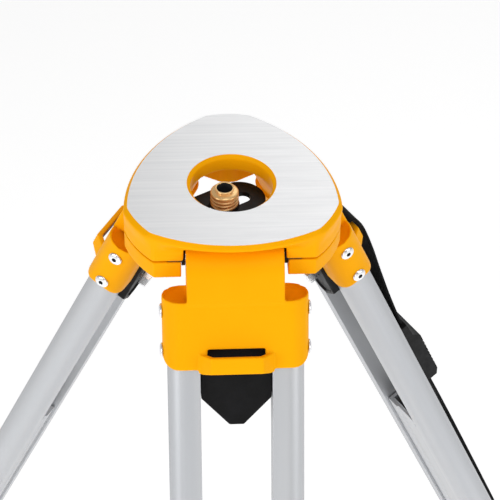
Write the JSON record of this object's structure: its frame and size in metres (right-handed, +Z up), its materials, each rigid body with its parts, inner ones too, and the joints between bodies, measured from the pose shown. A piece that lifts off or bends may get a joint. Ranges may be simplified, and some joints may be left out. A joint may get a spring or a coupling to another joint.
{
  "type": "surveyor tripod",
  "caption": "Surveyor's tripod with a flat round-triangular head, central hole with swinging fixing screw, twin-tube telescopic legs, cam clamps and a carrying strap.",
  "frame": {"origin": "on the ground, at the centre of the bounding box of the standing tripod; the head's axis is 127.9 mm towards +Y from it, because the three feet make a star", "axes": "+Z up through the head, -Y towards the front leg, +X to the right"},
  "size_m": [0.9358, 0.8122, 1.1165],
  "materials": {
    "yellow_paint": "warm yellow paint on aluminium castings, satin, slightly soft edges",
    "anodised_tube": "satin natural anodised extrusion with fine lengthwise draw lines",
    "zinc_steel": "bright zinc plated fasteners",
    "spike_steel": "turned steel point, lightly oxidised",
    "black_steel": "black coated steel strip, satin",
    "black_plastic": "black moulded nylon with a fine grain",
    "brass": "machined brass, satin",
    "webbing": "black woven webbing, matt, ribbed weave"
  },
  "bodies": {
    "head": {"head_casting": "yellow_paint", "hinge_cap_1": "yellow_paint", "hinge_cap_2": "yellow_paint", "hinge_cap_3": "yellow_paint", "cap_bolt_1": "zinc_steel", "cap_bolt_2": "zinc_steel", "cap_bolt_3": "zinc_steel", "arm_pivot_bolt": "zinc_steel", "front_hinge_pin": "zinc_steel", "right_hinge_pin": "zinc_steel", "left_hinge_pin": "zinc_steel"},
    "swing_arm": {"swing_arm": "black_steel"},
    "slot_washer": {"slot_washer": "black_plastic"},
    "thrust_washer": {"thrust_washer": "brass"},
    "fixing_screw": {"fixing_screw": "brass", "fixing_knob": "black_plastic"},
    "front_leg": {"front_leg_casting": "yellow_paint", "front_tube_a": "anodised_tube", "front_tube_b": "anodised_tube", "front_leg_plug": "black_plastic", "front_plug_bolt": "zinc_steel", "front_clamp_housing": "yellow_paint", "front_lever_pin": "zinc_steel"},
    "front_lower_leg": {"front_lower_leg": "anodised_tube", "front_foot": "yellow_paint", "front_spike": "spike_steel"},
    "front_lever": {"front_clamp_lever": "black_plastic"},
    "front_shoe": {"front_clamp_shoe": "brass"},
    "right_leg": {"right_leg_casting": "yellow_paint", "right_tube_a": "anodised_tube", "right_tube_b": "anodised_tube", "right_leg_plug": "black_plastic", "right_plug_bolt": "zinc_steel", "right_clamp_housing": "yellow_paint", "right_lever_pin": "zinc_steel", "strap": "webbing", "strap_buckle": "black_plastic"},
    "right_lower_leg": {"right_lower_leg": "anodised_tube", "right_foot": "yellow_paint", "right_spike": "spike_steel"},
    "right_lever": {"right_clamp_lever": "black_plastic"},
    "right_shoe": {"right_clamp_shoe": "brass"},
    "left_leg": {"left_leg_casting": "yellow_paint", "left_tube_a": "anodised_tube", "left_tube_b": "anodised_tube", "left_leg_plug": "black_plastic", "left_plug_bolt": "zinc_steel", "left_clamp_housing": "yellow_paint", "left_lever_pin": "zinc_steel"},
    "left_lower_leg": {"left_lower_leg": "anodised_tube", "left_foot": "yellow_paint", "left_spike": "spike_steel"},
    "left_lever": {"left_clamp_lever": "black_plastic"},
    "left_shoe": {"left_clamp_shoe": "brass"}
  },
  "joints": [
    {"name": "arm_swing", "type": "hinge", "parent": "head", "child": "swing_arm", "pos_m": [-0.02555, 0.11316, 1.10097], "axis": [0, 0, 1], "range_deg": [-15, 15]},
    {"name": "screw_slide", "type": "slide", "parent": "swing_arm", "child": "slot_washer", "axis": [0.866, 0.5, 0], "range_m": [-0.0072, 0.0078]},
    {"name": "screw_lift", "type": "slide", "parent": "slot_washer", "child": "thrust_washer", "axis": [0, 0, 1], "range_m": [0, 0.0078]},
    {"name": "screw_spin", "type": "hinge", "parent": "thrust_washer", "child": "fixing_screw", "pos_m": [-0.00398, 0.12561, 1.10097], "axis": [0, 0, 1], "continuous": true},
    {"name": "front_leg_hinge", "type": "hinge", "parent": "head", "child": "front_leg", "pos_m": [0, 0.08941, 1.09757], "axis": [-1, 0, 0], "range_deg": [-23.73, 18]},
    {"name": "front_leg_slide", "type": "slide", "parent": "front_leg", "child": "front_lower_leg", "axis": [0, -0.4024, -0.9155], "range_m": [-0.16, 0.42]},
    {"name": "front_clamp_lever", "type": "hinge", "parent": "front_leg", "child": "front_lever", "pos_m": [0, -0.22794, 0.4342], "axis": [-1, 0, 0], "range_deg": [0, 100]},
    {"name": "front_shoe_press", "type": "slide", "parent": "front_leg", "child": "front_shoe", "axis": [0, -0.9155, 0.4024], "range_m": [0, 0.0006]},
    {"name": "right_leg_hinge", "type": "hinge", "parent": "head", "child": "right_leg", "pos_m": [0.03334, 0.14716, 1.09757], "axis": [0.5, -0.866, 0], "range_deg": [-23.73, 18]},
    {"name": "right_leg_slide", "type": "slide", "parent": "right_leg", "child": "right_lower_leg", "axis": [0.3485, 0.2012, -0.9155], "range_m": [-0.16, 0.42]},
    {"name": "right_clamp_lever", "type": "hinge", "parent": "right_leg", "child": "right_lever", "pos_m": [0.30818, 0.30584, 0.4342], "axis": [0.5, -0.866, 0], "range_deg": [0, 100]},
    {"name": "right_shoe_press", "type": "slide", "parent": "right_leg", "child": "right_shoe", "axis": [0.7928, 0.4577, 0.4024], "range_m": [0, 0.0006]},
    {"name": "left_leg_hinge", "type": "hinge", "parent": "head", "child": "left_leg", "pos_m": [-0.03334, 0.14716, 1.09757], "axis": [0.5, 0.866, 0], "range_deg": [-23.73, 18]},
    {"name": "left_leg_slide", "type": "slide", "parent": "left_leg", "child": "left_lower_leg", "axis": [-0.3485, 0.2012, -0.9155], "range_m": [-0.16, 0.42]},
    {"name": "left_clamp_lever", "type": "hinge", "parent": "left_leg", "child": "left_lever", "pos_m": [-0.30818, 0.30584, 0.4342], "axis": [0.5, 0.866, 0], "range_deg": [0, 100]},
    {"name": "left_shoe_press", "type": "slide", "parent": "left_leg", "child": "left_shoe", "axis": [-0.7928, 0.4577, 0.4024], "range_m": [0, 0.0006]}
  ],
  "couplings": [
    {"joint": "front_shoe_press", "follows": "front_clamp_lever", "m_per_rad": 0.00034343},
    {"joint": "right_shoe_press", "follows": "right_clamp_lever", "m_per_rad": 0.00034343},
    {"joint": "left_shoe_press", "follows": "left_clamp_lever", "m_per_rad": 0.00034343}
  ]
}
